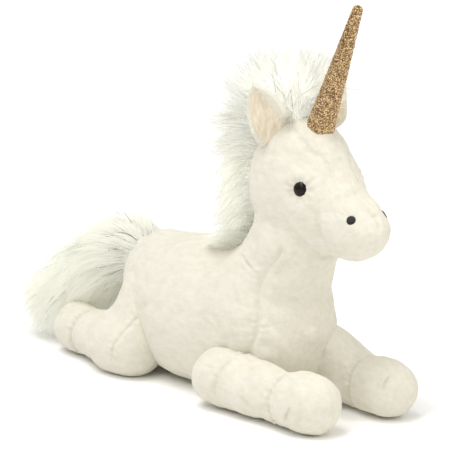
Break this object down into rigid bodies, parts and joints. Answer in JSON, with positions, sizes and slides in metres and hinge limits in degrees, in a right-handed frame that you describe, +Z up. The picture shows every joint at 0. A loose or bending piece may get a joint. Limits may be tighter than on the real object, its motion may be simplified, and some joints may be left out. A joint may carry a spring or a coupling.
{
  "type": "plush unicorn",
  "caption": "Stuffed plush unicorn lying with its head up, with a long-pile mane and tail, a glitter horn, domed eyes and limbs, neck, head, ears and tail that move.",
  "frame": {"origin": "on the floor, at the middle of the toy's outline seen from above", "axes": "+Z up, the nose points to -Y, the toy's right-hand side is -X"},
  "size_m": [0.1198, 0.387, 0.29],
  "materials": {
    "plush": "very short cream pile",
    "long_pile": "long off-white fur",
    "ear_satin": "smooth beige lining",
    "glitter": "bronze and gold glitter fabric",
    "eye_plastic": "glossy black dome",
    "washer_plastic": "moulded safety washer",
    "embroidery": "black stitched thread",
    "filling": "polyester fibre filling",
    "pellets": "woven bag of plastic pellets"
  },
  "bodies": {
    "torso": {"body_side_right": "plush", "body_side_left": "plush", "chest_gusset": "plush", "belly_gusset": "plush", "body_stuffing": "filling", "pellet_bag": "pellets"},
    "neck": {"neck_side_right": "plush", "neck_side_left": "plush", "throat_gusset": "plush", "neck_stuffing": "filling", "mane_lower": "long_pile"},
    "head": {"head_side_right": "plush", "head_side_left": "plush", "forehead_gusset": "plush", "jaw_gusset": "plush", "muzzle_right": "plush", "muzzle_left": "plush", "head_stuffing": "filling", "mane_upper": "long_pile", "forelock": "long_pile", "horn_cover": "glitter", "horn_stuffing": "filling", "eye_right": "eye_plastic", "eye_left": "eye_plastic", "eye_washer_right": "washer_plastic", "eye_washer_left": "washer_plastic", "nostril_right": "embroidery", "nostril_left": "embroidery"},
    "ear_right": {"ear_outer_right": "plush", "ear_lining_right": "ear_satin"},
    "ear_left": {"ear_outer_left": "plush", "ear_lining_left": "ear_satin"},
    "front_leg_right": {"front_leg_cover_right": "plush", "front_hoof_right": "plush", "front_leg_stuffing_right": "filling"},
    "front_leg_left": {"front_leg_cover_left": "plush", "front_hoof_left": "plush", "front_leg_stuffing_left": "filling"},
    "hind_leg_right": {"hind_leg_cover_right": "plush", "hind_hoof_right": "plush", "hind_leg_stuffing_right": "filling"},
    "hind_leg_left": {"hind_leg_cover_left": "plush", "hind_hoof_left": "plush", "hind_leg_stuffing_left": "filling"},
    "tail": {"tail_fur": "long_pile", "tail_stuffing": "filling"}
  },
  "joints": [
    {"name": "neck_bend", "type": "hinge", "parent": "torso", "child": "neck", "pos_m": [0, -0.078, 0.074], "axis": [1, 0, 0], "range_deg": [-8, 8], "stiffness_Nm_per_rad": 3},
    {"name": "head_turn", "type": "hinge", "parent": "neck", "child": "head", "pos_m": [0, -0.106, 0.14], "axis": [0, 0, 1], "range_deg": [-30, 30], "stiffness_Nm_per_rad": 0.3},
    {"name": "ear_right_fold", "type": "hinge", "parent": "head", "child": "ear_right", "pos_m": [-0.0195, -0.11, 0.195], "axis": [-0.4598, 0.6209, -0.6349], "range_deg": [-15, 15], "stiffness_Nm_per_rad": 0.02},
    {"name": "ear_left_fold", "type": "hinge", "parent": "head", "child": "ear_left", "pos_m": [0.0195, -0.11, 0.195], "axis": [-0.4598, -0.6209, 0.6349], "range_deg": [-15, 15], "stiffness_Nm_per_rad": 0.02},
    {"name": "front_leg_right_swing", "type": "hinge", "parent": "torso", "child": "front_leg_right", "pos_m": [-0.0385, -0.072, 0.022], "axis": [1, 0, 0], "range_deg": [0, 40], "stiffness_Nm_per_rad": 0.15},
    {"name": "front_leg_left_swing", "type": "hinge", "parent": "torso", "child": "front_leg_left", "pos_m": [0.0385, -0.072, 0.022], "axis": [1, 0, 0], "range_deg": [0, 40], "stiffness_Nm_per_rad": 0.15},
    {"name": "hind_leg_right_splay", "type": "hinge", "parent": "torso", "child": "hind_leg_right", "pos_m": [-0.038, 0.044, 0.064], "axis": [0, 1, 0], "range_deg": [0, 30], "stiffness_Nm_per_rad": 0.15},
    {"name": "hind_leg_left_splay", "type": "hinge", "parent": "torso", "child": "hind_leg_left", "pos_m": [0.038, 0.044, 0.064], "axis": [0, -1, 0], "range_deg": [0, 30], "stiffness_Nm_per_rad": 0.15},
    {"name": "tail_lift", "type": "hinge", "parent": "torso", "child": "tail", "pos_m": [0, 0.068, 0.076], "axis": [1, 0, 0], "range_deg": [0, 35], "stiffness_Nm_per_rad": 0.15}
  ]
}
